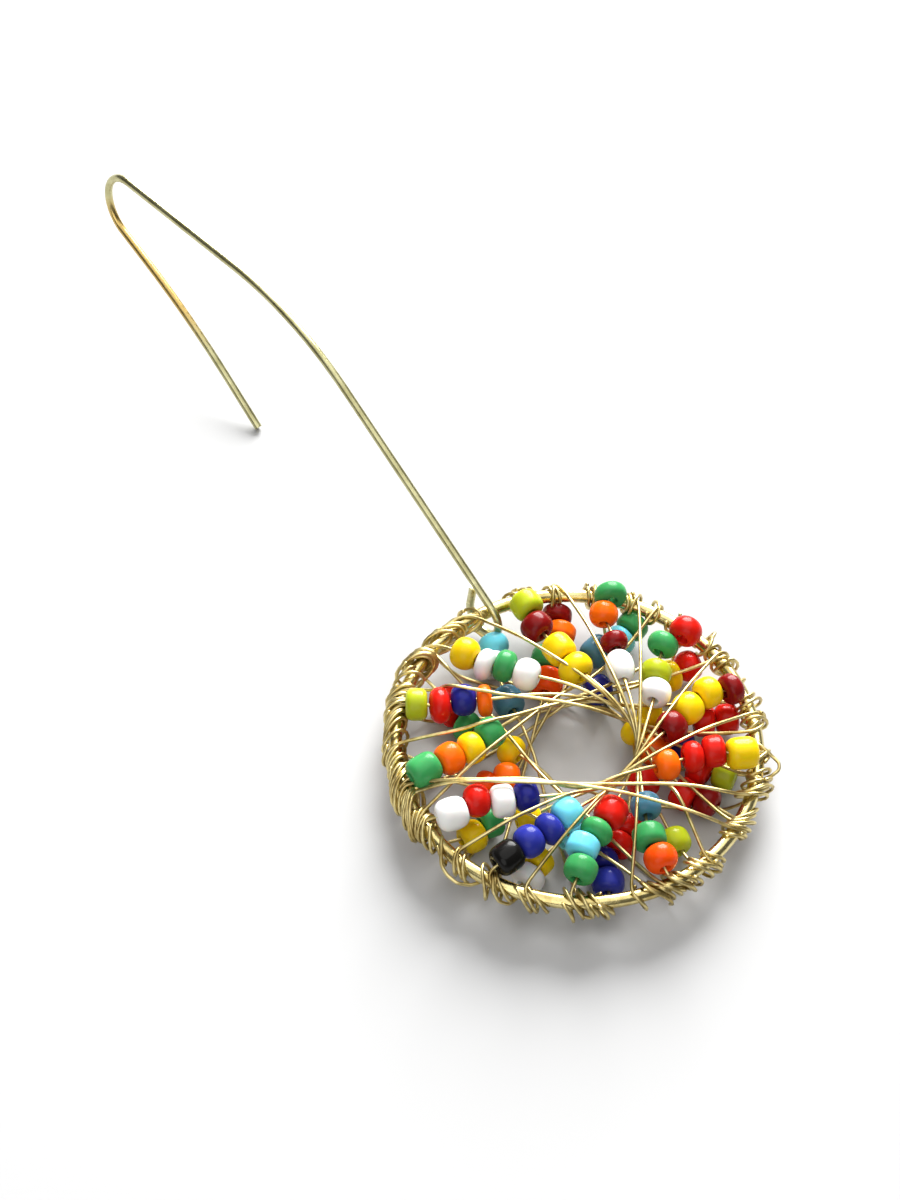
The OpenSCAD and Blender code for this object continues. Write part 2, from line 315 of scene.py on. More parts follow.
def goldMaterial(name, look):
    gold = bpy.data.materials.new(name)
    gold.use_nodes = True
    tree = gold.node_tree
    links = tree.links
    shader = tree.nodes["Principled BSDF"]
    shader.inputs["Metallic"].default_value = 1.0
    place = node(tree, "ShaderNodeTexCoord", (-1300, 0))
    drift = node(tree, "ShaderNodeTexNoise", (-1000, 250), Scale=brass["drift"],
                 Detail=brass["driftDetail"], Roughness=brass["driftRough"])
    tint = node(tree, "ShaderNodeValToRGB", (-750, 250))
    tint.color_ramp.elements[0].position = brass["darkBelow"]
    tint.color_ramp.elements[0].color = look["dark"]
    tint.color_ramp.elements[1].position = brass["lightAbove"]
    tint.color_ramp.elements[1].color = look["light"]
    marks = node(tree, "ShaderNodeTexNoise", (-1000, -50), Scale=brass["marks"],
                 Detail=brass["marksDetail"], Roughness=brass["marksRough"])
    gloss = node(tree, "ShaderNodeMapRange", (-750, -50))
    gloss.inputs["To Min"].default_value = look["rough"] - brass["glossier"]
    gloss.inputs["To Max"].default_value = look["rough"] + brass["duller"]
    dents = node(tree, "ShaderNodeTexNoise", (-1000, -350), Scale=brass["dents"],
                 Detail=brass["dentDetail"])
    relief = node(tree, "ShaderNodeBump", (-500, -300), Strength=brass["dentStrength"],
                  Distance=brass["dentDepth"])
    for texture in (drift, marks, dents):
        links.new(place.outputs["Object"], texture.inputs["Vector"])
    links.new(drift.outputs["Fac"], tint.inputs["Fac"])
    tone = warmed(tree, place, tint, look["warm"]) if "warm" in look else tint.outputs["Color"]
    links.new(tone, shader.inputs["Base Color"])
    links.new(marks.outputs["Fac"], gloss.inputs["Value"])
    links.new(gloss.outputs["Result"], shader.inputs["Roughness"])
    links.new(dents.outputs["Fac"], relief.inputs["Height"])
    links.new(relief.outputs["Normal"], shader.inputs["Normal"])
    return gold


def finishHoopAndHook(golds):
    for name, slot in (("hoop", "hoop_wire"), ("ear_hook", "ear_wire")):
        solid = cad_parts[name]
        solid.data.materials.clear()
        solid.data.materials.append(golds[slot])
        makeActive(solid)
        bpy.ops.object.shade_smooth_by_angle(angle=math.radians(brass["smoothBelow"]))
        deselectAll()
    print("hoop and ear hook finished")


# thin wire: strands across both faces, each ending in turns round the hoop

thinWire = {
    "across": 0.33 * mm,
    "sides": 2,               # curve bevel resolution
    "step": 0.45 * mm,
    "smoothing": 12,          # rounds of easing for a strand as it comes from the CAD
    "settling": 3,            # and once its beads have moved
    "ringCorners": 6,         # a CAD strand is a tube of six sides
    "bow": 0.10 * mm,         # how far a strand may stray sideways between its ends
    "overBeads": 0.15 * mm,
    "beadShoulder": 0.2,      # only what crosses a bead above this share of its width lies on it
    "drapes": 3,              # rounds of laying a long strand on the beads beneath it
    "drapeEase": 6,
    "seed": 11,
}
# long strands laid over the rest: rim angle, points (mm, height over the hoop's middle), rim angle
laidStrands = (
    {"from": 213, "through": ((-13.0, -8.0, 1.4), (-9.0, -4.0, 3.2), (-3.7, 1.3, 3.2), (-1.4, 4.0, 2.4),
                              (1.0, 6.8, 0.2), (4.6, 10.8, 0.1)), "to": 64},
    {"from": 186, "through": ((-15.2, -1.5, 1.4), (-9.1, -0.8, 3.2), (-2.2, 2.1, 3.2), (0.4, 3.3, 2.2),
                              (3.6, 5.6, 0.2), (10.2, 8.6, 0.1)), "to": 36},
    {"from": 165, "through": ((-9.2, 2.8, 3.2), (-3.6, 2.6, 3.2), (0.9, 2.2, 2.8), (4.4, 1.9, 1.2),
                              (7.4, 1.8, 0.2), (12.4, 1.6, 0.1)), "to": 6},
    {"from": 342, "through": ((15.1, -6.0, 1.9), (13.4, -6.5, 3.3), (10.2, -6.1, 3.6), (7.3, -6.2, 3.6),
                              (4.8, -6.4, 3.6), (1.9, -6.6, 3.6), (-1.7, -6.8, 3.6), (-5.3, -6.8, 3.6),
                              (-8.5, -6.9, 3.6), (-11.6, -6.8, 3.2)), "to": 205},
    {"from": 328, "through": ((12.7, -9.3, 2.6), (10.2, -8.9, 3.6), (8.1, -8.3, 3.6), (4.6, -7.4, 3.6),
                              (1.2, -6.9, 3.6), (-2.6, -6.6, 3.6), (-5.6, -6.7, 3.6), (-9.8, -6.7, 3.5),
                              (-12.5, -6.6, 2.9)), "to": 201},
    {"from": 297, "through": ((6.6, -14.0, 0.55), (5.0, -12.1, 0.25), (3.5, -10.5, 0.05), (2.0, -8.7, 0.0),
                              (-0.5, -6.4, 0.0), (-3.4, -3.6, 0.0), (-6.9, 1.2, 0.0)), "to": 147},
    {"from": 293, "through": ((4.9, -13.7, 0.3), (2.7, -11.9, 0.0), (0.9, -10.8, 0.0), (-1.4, -9.4, 0.0),
                              (-5.4, -7.4, 0.0), (-9.4, -5.2, 0.0)), "to": 196},
)
wraps = {
    "play": 0.05 * mm,        # between a turn and the hoop's wire
    "layer": 0.2 * mm,        # how much further out each layer of turns lies
    "stepsPerTurn": 18,
    "leanSide": -40,          # the side of a turn that is pushed round along the hoop
    "slackSide": -55,         # and the side that stands off it
    "wander": 0.3,            # how the lean changes from turn to turn, and how fast
    "wanderRate": 2.1,
    "slackSwing": 0.5,
    "slackRate": 2.9,
    "slackFocus": 1.5,        # more of this brings the slack closer to its side
    "ripple": 0.05,
    "rippleRate": 5.1,
    "looser": 0.05,
    "joinBefore": 5,          # points of a strand and of its first turn that are eased together
    "joinAfter": 3,
    "joinEase": 4,
    "topLayer": 3,            # a strand's end that finds room only here isn't wound
    "fillLayers": 2,          # turns between the strands' ends keep to these lowest layers
    "apart": 0.5,             # degrees kept free beside each cluster
    "strayFiner": 3,          # a stray loop's steps are this many times smaller
    "strayEase": 3,
    "fillFrom": 1.0,
    "fillTo": 357,
    "eyeStart": 119.0,        # the ear hook's eye keeps this stretch free
    "eyeEnd": 125.6,
    "seed": 5,
    # round the hoop: spacing, turns, degrees of hoop per turn, lean in degrees, slack as a share
    "zones": (
        {"to": 60, "gap": (14.0, 20.0), "turns": (0.9, 1.4), "pitch": (2.0, 3.4), "lean": (-2.0, 3.0),
         "slack": (0.05, 0.5)},
        {"to": 128, "gap": (9.0, 13.0), "turns": (0.9, 1.4, 2.4), "pitch": (1.6, 2.6), "lean": (-1.5, 3.0),
         "slack": (0.0, 0.3)},
        {"to": 214, "gap": (3.0, 5.2), "turns": (1.4, 2.4, 3.4), "pitch": (1.4, 2.2), "lean": (2.2, 4.8),
         "slack": (0.0, 0.3)},
        {"to": 312, "gap": (17.0, 24.0), "turns": (0.9, 1.4, 1.4), "pitch": (2.4, 4.0), "lean": (2.0, 4.2),
         "slack": (0.1, 0.45)},
        {"to": 346, "gap": (5.0, 8.0), "turns": (1.4, 1.4, 2.4), "pitch": (1.8, 3.0), "lean": (0.6, 3.6),
         "slack": (0.0, 0.4)},
        {"to": 361, "gap": (12.0, 18.0), "turns": (0.9, 1.4), "pitch": (2.0, 3.2), "lean": (-1.0, 3.0),
         "slack": (0.1, 0.5)},
    ),
}
# loops that stand well off the hoop: rim angle, place round its wire, distance from the wire's
# middle (mm)
strayLoops = (
    ((223, 120, 0.82), (224, 90, 0.85), (226.5, 50, 1.05), (229, 10, 1.5), (232, -5, 1.75),
     (235.5, -15, 1.75), (238.5, -40, 1.3), (240.5, -80, 0.9), (242, -130, 0.85), (243, -180, 0.85),
     (244, -230, 0.85), (245, -270, 0.85), (246, -330, 0.85), (247, -380, 0.85)),
    ((3, 140, 0.82), (1, 90, 0.85), (359.5, 45, 0.95), (358, 10, 1.4), (356.3, 5, 2.0), (354.4, 0, 2.05),
     (352.6, -8, 1.5), (351.4, -45, 0.95), (350.5, -95, 0.85), (349.7, -150, 0.85), (349, -210, 0.85),
     (348.3, -270, 0.85), (347, -350, 0.85)),
    ((243, 130, 0.82), (244.5, 80, 0.9), (246, 30, 1.3), (248.5, -5, 1.5), (251, -35, 1.35),
     (252.5, -75, 0.95), (253.3, -130, 0.85), (254, -190, 0.85), (255, -260, 0.85)),
    ((268, 100, 0.82), (270, 40, 0.95), (272.5, -20, 1.2), (275, -50, 1.5), (276.5, -75, 1.2),
     (277, -120, 0.9), (277.5, -180, 0.85), (278, -240, 0.85)),
    ((42, 110, 0.82), (43, 60, 1.0), (44.5, 20, 1.7), (45.5, -5, 1.6), (46, -50, 0.95), (46.5, -110, 0.85),
     (47, -190, 0.85), (47.5, -260, 0.85)),
)


def stations(spots):
    # the middles of a strand's rings, in order along it
    far = spots[np.argmax(np.linalg.norm(spots - spots.mean(0), axis=1))]
    other = spots[np.argmax(np.linalg.norm(spots - far, axis=1))]
    way = (other - far) / np.linalg.norm(other - far)
    along = (spots - far) @ way
    corners = thinWire["ringCorners"]
    rings = []
    for i in np.argsort(along):
        if rings and along[i] - rings[-1][0] < thinWire["across"] and len(rings[-1][1]) < corners:
            rings[-1][1].append(spots[i])
        else:
            rings.append((along[i], [spots[i]]))
    return [np.mean(ring, axis=0) for start, ring in rings]


def evenly(points, step):
    # the same line in equal steps, four at least
    points = np.array(points)
    gaps = np.linalg.norm(np.diff(points, axis=0), axis=1)
    reach = np.concatenate([[0], np.cumsum(gaps)])
    count = max(4, int(round(reach[-1] / step)))
    marks = np.linspace(0, reach[-1], count + 1)
    return np.stack([np.interp(marks, reach, points[:, k]) for k in range(3)], axis=1)


def rimAngle(spot):
    return math.degrees(math.atan2(spot[1], spot[0])) % 360


def ease(line, rounds):
    # each point goes half way to the middle of its two neighbours, the ends stay
    line = line.copy()
    for again in range(rounds):
        line[1:-1] = line[1:-1] * 0.5 + (line[:-2] + line[2:]) * 0.25
    return line


# glass beads

bead = {
    "across": 3.1 * mm,
    "length": 2.1 * mm,
    "bore": 1.0 * mm,
    "sides": 20,
    "rimSteps": 4,
    "boreEdge": 0.12 * mm,
    "boreSteps": 2,
    "edgeWithin": 0.02,       # room for finding the rims' and the bore's edges, as a share
    "endWithin": 0.01 * mm,
    "endFacing": 0.9,
    # three moulds: how round their rims are, and width and length as shares of the bead's
    "moulds": (
        {"name": "barrel", "round": 0.80 * mm, "swell": 1.00, "length": 1.00},
        {"name": "plump", "round": 0.94 * mm, "swell": 1.01, "length": 1.02},
        {"name": "blunt", "round": 0.66 * mm, "swell": 0.99, "length": 1.00},
    ),
    "sizeSpread": 0.025,
    "tilt": 4.0,
    "shift": 0.04 * mm,
    "shades": (0.1, 0.6),
    "threadedWithin": 0.8,    # of the bore, from a strand to the middle of a bead that it carries
    "seed": 7,
}
# where strung beads really sit: face, then the rim angle of the string's beaded end, then one
# row for each bead from the rim inward: off its even place in x, y and z (mm), its length, and
# its width where that is odd, both as shares of the usual
strungPlaces = {
    1: {
        145: ((0.28, -0.67, 0.0, 1.19), (0.08, -1.09, 0.0, 0.80), (-0.13, -0.45, 0.0, 0.92),
              (-0.15, -0.64, 0.0, 1.16)),
        171: ((-0.39, -0.86, 0.0, 0.98), (-0.41, -1.06, 0.0, 0.93, 1.10), (-0.41, -0.67, 0.0, 1.12),
              (-0.63, -0.93, 0.0, 0.67)),
        200: ((-0.01, -0.76, 0.3, 1.38), (0.49, -0.56, 0.0, 1.15), (0.65, -0.60, 0.0, 1.00),
              (0.60, -0.26, 0.0, 1.10)),
        215: ((0.62, -0.54, 0.2, 1.37), (-0.15, 0.14, 0.0, 1.11), (0.12, -0.49, 0.0, 1.03),
              (0.15, -0.50, 0.0, 1.04)),
        242: ((0.34, -0.19, 0.0, 1.25), (0.21, -0.54, 0.0, 1.18), (0.46, -0.68, 0.0, 0.98),
              (0.45, -0.52, 0.0, 1.18)),
        268: ((0.14, -0.23, 0.0, 1.10), (-0.51, -0.29, 0.0, 1.00), (-0.02, -0.71, 0.0, 0.84),
              (0.55, -0.76, 0.0, 1.32)),
        300: ((-0.39, -0.50, 0.0, 1.14), (-0.94, -0.51, 0.0, 1.04), (-0.56, -0.18, 0.0, 1.05, 0.93)),
        358: ((0.06, -0.64, 0.5, 1.36), (-0.34, 0.28, 0.1, 0.97), (-0.15, 0.12, 0.0, 0.90),
              (-0.36, -0.28, 0.0, 1.08)),
        25: ((0.42, -0.33, 0.2, 0.85), (-0.11, 0.71, 0.0, 1.09), (-0.32, 0.34, 0.0, 1.25),
             (-0.21, -0.33, 0.0, 1.16)),
        56: ((1.19, -0.73, 0.9, 1.11), (-0.25, 0.20, 0.1, 0.96), (-0.31, -0.92, 0.0, 0.99),
             (0.26, -1.00, 0.0, 1.04)),
        83: ((0.53, 0.58, 0.5, 0.82, 1.05), (-0.47, 0.74, 0.1, 1.09, 0.89),
             (-0.03, 1.24, 0.0, 0.78, 0.88), (0.10, 0.52, 0.0, 1.55, 0.91)),
        111: ((-0.23, -0.23, 0.2, 1.10), (-0.58, -0.83, 0.0, 1.10), (-0.23, -0.94, 0.0, 1.23),
              (0.04, -1.28, 0.0, 1.15, 1.12)),
    },
    -1: {
        18: ((0.20, -0.53, 0.0, 1.06), (0.23, -0.86, 0.0, 0.96), (0.12, -0.29, 0.0, 1.00),
             (-0.51, -0.20, 0.0, 1.10)),
        44: ((0.35, -0.35, 0.0, 1.13), (0.54, -0.58, 0.0, 0.83), (-0.93, 0.11, 0.0, 1.15)),
        70: ((0.74, 0.27, 0.4, 0.91), (0.85, 0.58, 0.0, 0.86), (-0.01, 0.89, 0.0, 1.30)),
        97: ((0.36, 0.54, 0.3, 0.76), (1.22, 0.88, 0.1, 0.86), (0.23, -0.01, 0.0, 1.10),
             (0.80, -0.67, 0.0, 1.25)),
        128: ((1.68, 0.18, 0.0, 1.06), (0.90, 0.00, 0.0, 0.96), (0.90, 0.05, 0.0, 1.30)),
        153: ((0.87, -0.78, 0.0, 0.91), (0.31, -0.70, 0.0, 0.77), (-0.15, -0.62, 0.0, 0.87),
              (1.25, -0.27, 0.0, 1.00, 0.95)),
        185: ((0.33, -1.09, 0.0, 0.86), (0.25, 0.38, 0.0, 1.21)),
        222: ((0.57, 0.49, 0.0, 1.11), (0.25, 1.20, 0.0, 0.96), (1.40, 0.61, 0.0, 1.10)),
        251: ((0.11, 0.57, 0.0, 0.96), (-0.33, 0.60, 0.0, 0.86), (-0.14, -0.05, 0.0, 1.20)),
        281: ((-0.33, 0.71, 0.0, 1.13), (-1.05, 0.81, 0.0, 0.95), (0.13, 0.33, 0.0, 0.85),
              (0.66, -0.03, 0.0, 0.97)),
        312: ((-0.39, -0.28, 0.0, 1.15), (-0.80, 0.24, 0.6, 1.15)),
        335: ((-0.30, 0.14, 0.0, 1.04), (-0.80, -0.66, 0.0, 1.04)),
        353: ((-0.98, -0.18, 0.0, 1.06), (-1.31, -0.81, 0.0, 1.01), (-1.01, 0.95, 0.0, 1.05),
              (-1.58, -0.84, 0.3, 1.15)),
    },
}
kneePlaces = {1: (0.80, -1.00, 0), -1: (0.90, 0.90, 0)}    # the same for the bends round the middle
# one more bead, past the last one of a back string and beside the middle hole
innerBead = {"face": -1, "string": 353, "within": 3, "colour": "yellow", "longer": 0.95,
             "step": 2.15 * mm}
# depth is the share of light that goes into the glass and comes out beside
glasses = {
    "yellow": {"colour": (0.84, 0.575, 0.006), "depth": 0.20},
    "white": {"colour": (0.86, 0.855, 0.83), "depth": 0.25},
    "green": {"colour": (0.046, 0.305, 0.088), "depth": 0.12},
    "lime": {"colour": (0.42, 0.48, 0.016), "depth": 0.20},
    "red": {"colour": (0.63, 0.012, 0.006), "depth": 0.15},
    "navy": {"colour": (0.016, 0.018, 0.20), "depth": 0.10},
    "orange": {"colour": (0.90, 0.135, 0.004), "depth": 0.18},
    "black": {"colour": (0.006, 0.0055, 0.005), "depth": 0.0},
    "blue": {"colour": (0.024, 0.032, 0.29), "depth": 0.10},
    "sky": {"colour": (0.155, 0.61, 0.76), "depth": 0.20},
    "coral": {"colour": (0.88, 0.078, 0.004), "depth": 0.18},
    "teal": {"colour": (0.07, 0.20, 0.29), "depth": 0.18},
    "garnet": {"colour": (0.20, 0.006, 0.006), "depth": 0.12},
}
glassFinish = {
    "ior": 1.5,
    "depthReach": 0.6 * mm,
    "specular": 0.10,
    "coat": 0.10,
    "coatRough": 0.07,
    "swirls": 700.0,
    "swirlDetail": 3.0,
    "swirlShare": 0.35,
    "dark": 0.80,             # shades of the colour at the two ends of the ramp
    "light": 1.06,
    "darkBelow": 0.15,
    "lightAbove": 0.95,
    "glossiest": 0.16,
    "dullest": 0.30,
    "ripples": 1400.0,
    "rippleDetail": 2.0,
    "rippleStrength": 0.12,
    "rippleDepth": 0.05 * mm,
}


def modelMould(look):
    # a drilled barrel lying along X at the origin
    deselectAll()
    half = bead["length"] * look["length"] / 2
    radius = bead["across"] / 2 * look["swell"]
    bore = bead["bore"] / 2
    bpy.ops.mesh.primitive_cylinder_add(vertices=bead["sides"], radius=radius, depth=2 * half,
                                        end_fill_type="NGON", rotation=(0, math.pi / 2, 0))
    mould = bpy.context.object
    mould.name = look["name"]
    bpy.ops.object.transform_apply(location=True, rotation=True, scale=True)
    bpy.ops.object.mode_set(mode="EDIT")
    bpy.ops.mesh.select_mode(type="FACE")
    selectFaces(mould, lambda face: abs(face.normal.x) > bead["endFacing"])
    bpy.ops.mesh.inset(thickness=radius - bore)
    bpy.ops.mesh.bridge_edge_loops()
    bpy.ops.mesh.select_mode(type="EDGE")

    def atEnds(low, high):
        # picks the edges of both ends that lie between two distances from the axis
        def wanted(a, b):
            flat = max(abs(abs(a.x) - half), abs(a.x - b.x)) < bead["endWithin"]
            return flat and all(low < math.hypot(p.y, p.z) < high for p in (a, b))
        return wanted

    below = 1 - bead["edgeWithin"]
    above = 1 + bead["edgeWithin"]
    selectEdges(mould, atEnds(radius * below, radius * above))
    bpy.ops.mesh.bevel(offset=look["round"], segments=bead["rimSteps"])
    selectEdges(mould, atEnds(0, bore * above))
    bpy.ops.mesh.bevel(offset=bead["boreEdge"], segments=bead["boreSteps"])
    bpy.ops.mesh.select_all(action="SELECT")
    bpy.ops.mesh.normals_make_consistent(inside=False)
    bpy.ops.object.mode_set(mode="OBJECT")
    soften = mould.modifiers.new("soften", "SUBSURF")
    soften.levels = 1
    soften.render_levels = 1
    bpy.ops.object.modifier_apply(modifier="soften")
    bpy.ops.object.shade_smooth()
    return mould


def beadSeats(name):
    # middle and bore direction of each bead of a CAD node
    seats = []
    for spots in solidPoints(name):
        # half way between the middle of its points and the middle of its box
        boxMiddle = (spots.min(0) + spots.max(0)) / 2
        middle = Vector(np.mean(spots, axis=0)) * 0.5 + Vector(boxMiddle) * 0.5
        spread = np.cov((spots - np.array(middle)).T)
        sizes, ways = np.linalg.eigh(spread)
        # two of a bead's three spreads are alike, and the third is the bore's
        odd = 0 if sizes[1] - sizes[0] > sizes[2] - sizes[1] else 2
        seats.append((middle, Vector(ways[:, odd]).normalized()))
    return seats


def glassMaterial(colourName):
    look = glasses[colourName]
    glass = bpy.data.materials.new("glass_" + colourName)
    glass.use_nodes = True
    tree = glass.node_tree
    links = tree.links
    shader = tree.nodes["Principled BSDF"]
    shader.inputs["IOR"].default_value = glassFinish["ior"]
    shader.inputs["Subsurface Weight"].default_value = look["depth"]
    shader.inputs["Subsurface Scale"].default_value = glassFinish["depthReach"]
    shader.inputs["Specular IOR Level"].default_value = glassFinish["specular"]
    shader.inputs["Coat Weight"].default_value = glassFinish["coat"]
    shader.inputs["Coat Roughness"].default_value = glassFinish["coatRough"]
    place = node(tree, "ShaderNodeTexCoord", (-1300, 0))
    batch = node(tree, "ShaderNodeAttribute", (-1300, 350))
    batch.attribute_name = "batch"
    swirl = node(tree, "ShaderNodeTexNoise", (-1050, 100), Scale=glassFinish["swirls"],
                 Detail=glassFinish["swirlDetail"])
    mixed = node(tree, "ShaderNodeMath", (-820, 250))
    mixed.operation = "MULTIPLY_ADD"
    mixed.inputs[1].default_value = glassFinish["swirlShare"]
    tint = node(tree, "ShaderNodeValToRGB", (-600, 250))
    low, high = tint.color_ramp.elements
    low.position = glassFinish["darkBelow"]
    low.color = tuple(c * glassFinish["dark"] for c in look["colour"]) + (1,)
    high.position = glassFinish["lightAbove"]
    high.color = tuple(min(1, c * glassFinish["light"]) for c in look["colour"]) + (1,)
    gloss = node(tree, "ShaderNodeMapRange", (-600, -50))
    gloss.inputs["To Min"].default_value = glassFinish["glossiest"]
    gloss.inputs["To Max"].default_value = glassFinish["dullest"]
    ripples = node(tree, "ShaderNodeTexNoise", (-1050, -350), Scale=glassFinish["ripples"],
                   Detail=glassFinish["rippleDetail"])
    relief = node(tree, "ShaderNodeBump", (-500, -350), Strength=glassFinish["rippleStrength"],
                  Distance=glassFinish["rippleDepth"])
    links.new(place.outputs["Object"], swirl.inputs["Vector"])
    links.new(place.outputs["Object"], ripples.inputs["Vector"])
    links.new(swirl.outputs["Fac"], mixed.inputs[0])
    links.new(batch.outputs["Fac"], mixed.inputs[2])
    links.new(mixed.outputs["Value"], tint.inputs["Fac"])
    links.new(tint.outputs["Color"], shader.inputs["Base Color"])
    links.new(swirl.outputs["Fac"], gloss.inputs["Value"])
    links.new(gloss.outputs["Result"], shader.inputs["Roughness"])
    links.new(ripples.outputs["Fac"], relief.inputs["Height"])
    links.new(relief.outputs["Normal"], shader.inputs["Normal"])
    return glass


def seatBead(mould, seat, dice):
    # a copy of the mould, a little off its seat as loose beads are
    middle, way = seat["middle"], seat["way"]
    twin = mould.copy()
    twin.data = mould.data.copy()
    bpy.context.scene.collection.objects.link(twin)
    grow = seat["wider"] + dice.uniform(-1, 1) * bead["sizeSpread"]
    longer = seat["longer"] * bead["length"] / mould.dimensions.x
    lean = Matrix.Rotation(math.radians(dice.uniform(-1, 1) * bead["tilt"]), 4, "Y")
    yaw = Matrix.Rotation(math.radians(dice.uniform(-1, 1) * bead["tilt"]), 4, "Z")
    spin = Matrix.Rotation(dice.uniform(0, 2 * math.pi), 4, "X")
    turn = way.to_track_quat("X", "Z").to_matrix().to_4x4()
    size = Matrix.Diagonal((longer, grow, grow, 1))
    step = Vector([dice.uniform(-1, 1) * bead["shift"] for axis in range(3)])
    step -= way * step.dot(way)
    twin.data.transform(Matrix.Translation(middle + step) @ turn @ lean @ yaw @ spin @ size)
    shade = twin.data.attributes.new("batch", "FLOAT", "POINT")
    shade.data.foreach_set("value", [dice.uniform(*bead["shades"])] * len(twin.data.vertices))
    return twin


def readStrings():
    # the CAD strands of both faces with the beads that each one carries, beaded end first
    seats = []
    for colourName in glasses:
        for middle, way in beadSeats("beads_" + colourName):
            seats.append({"colour": colourName, "middle": middle, "way": way, "longer": 1.0,
                          "wider": 1.0})
    strings = []
    for face, solid in ((1, "front_wires"), (-1, "back_wires")):
        for spots in solidPoints(solid):
            line = ease(evenly(stations(spots), thinWire["step"]), thinWire["smoothing"])
            threaded = []
            for seat in seats:
                gaps = np.linalg.norm(line - np.array(seat["middle"]), axis=1)
                if gaps.min() < bead["bore"] * bead["threadedWithin"]:
                    threaded.append((int(gaps.argmin()), seat))
            threaded.sort(key=lambda pair: pair[0])
            if threaded and threaded[0][0] > len(line) - threaded[-1][0]:
                line = line[::-1].copy()
                threaded = [(len(line) - 1 - at, seat) for at, seat in reversed(threaded)]
            strings.append({"face": face, "line": line, "threaded": threaded})
    return seats, strings


def settleString(string):
    # beads and strand move together from the even layout to their real places
    line = string["line"]
    places = strungPlaces[string["face"]]
    rows = ()
    if string["threaded"]:
        start = rimAngle(line[0])
        rows = places[min(places, key=lambda angle: abs((angle - start + 180) % 360 - 180))]
        if len(rows) != len(string["threaded"]):
            print("string at", round(start), "has", len(string["threaded"]), "beads for",
                  len(rows), "rows")
    marks = [0]
    moves = [(0, 0, 0)]
    for (at, seat), (dx, dy, dz, longer, *wider) in zip(string["threaded"], rows):
        marks.append(at)
        moves.append((dx, dy, dz))
        seat["longer"] = longer
        seat["wider"] = wider[0] if wider else 1.0
        seat["middle"] = seat["middle"] + Vector((dx, dy, dz)) * mm
    knee = int(np.hypot(line[:, 0], line[:, 1]).argmin())
    marks += [max(knee, marks[-1] + 1), len(line) - 1]
    moves += [kneePlaces[string["face"]], (0, 0, 0)]
    moves = np.array(moves)
    for axis in range(3):
        line[:, axis] += np.interp(range(len(line)), marks, moves[:, axis] * mm)
    string["line"] = ease(line, thinWire["settling"])
    for at, seat in string["threaded"]:
        along = Vector(line[at + 1] - line[at - 1]).normalized()
        if along.dot(seat["way"]) < 0:
            along = -along
        seat["way"] = (seat["way"] + along).normalized()


def addInnerBead(seats, strings):
    for string in strings:
        line = string["line"]
        offAngle = abs(rimAngle(line[0]) - innerBead["string"])
        if string["face"] != innerBead["face"] or offAngle > innerBead["within"]:
            continue
        at, last = string["threaded"][-1]
        away = np.linalg.norm(line - np.array(last["middle"]), axis=1)
        spot = next(i for i in range(at, len(line)) if away[i] > innerBead["step"])
        way = Vector(line[spot + 1] - line[spot - 1]).normalized()
        seats.append({"colour": innerBead["colour"], "middle": Vector(line[spot]), "way": way,
                      "longer": innerBead["longer"], "wider": 1.0})


def buildBeads(seats):
    dice = random.Random(bead["seed"])
    moulds = [modelMould(look) for look in bead["moulds"]]
    for colourName in glasses:
        solid = "beads_" + colourName
        strung = []
        for seat in seats:
            if seat["colour"] == colourName:
                strung.append(seatBead(dice.choice(moulds), seat, dice))
        deselectAll()
        for one in strung:
            one.select_set(True)
        bpy.context.view_layer.objects.active = strung[0]
        bpy.ops.object.join()
        piece = bpy.context.object
        piece.name = "strung_" + colourName
        piece.data.name = piece.name
        piece.data.materials.clear()
        piece.data.materials.append(glassMaterial(colourName))
        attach(piece, "root")
        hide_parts(solid)
        print("strung", len(strung), colourName, "beads")
    deselectAll()
    for mould in moulds:
        mould.select_set(True)
    bpy.ops.object.delete()


def bowed(line, bow):
    share = np.linspace(0, 1, len(line))
    chord = line[-1] - line[0]
    side = np.cross(chord, [0, 0, 1])
    side /= np.linalg.norm(side)
    return line + np.outer(np.sin(np.pi * share) * bow, side)


def laidOver(line, seats):
    # where a strand crosses the top of a bead it lies on it
    radius = bead["across"] / 2 + thinWire["overBeads"]
    line = line.copy()
    for seat in seats:
        middle = np.array(seat["middle"])
        way = seat["way"]
        half = bead["length"] * seat["longer"] / 2 + thinWire["overBeads"]
        flat = np.array([way.x, way.y, 0.0])
        flat /= np.linalg.norm(flat)
        off = line - middle
        along = off @ flat
        side = off[:, 0] * -flat[1] + off[:, 1] * flat[0]
        high = off[:, 2] > bead["across"] * thinWire["beadShoulder"]
        near = (np.abs(along) < half) & (np.abs(side) < radius) & high
        top = middle[2] + np.sqrt(np.maximum(radius ** 2 - side ** 2, 0))
        line[near, 2] = np.maximum(line[near, 2], top[near])
    return line


def hoopPoint(angle, around, reach):
    # a point beside the hoop's wire: around = 0 outside, 90 on top
    a = math.radians(angle)
    t = math.radians(around)
    r = hoop["radius"] + reach * math.cos(t)
    return (r * math.cos(a), r * math.sin(a), hoop["height"] + reach * math.sin(t))


def zoneAt(angle):
    return next(zone for zone in wraps["zones"] if angle % 360 < zone["to"])


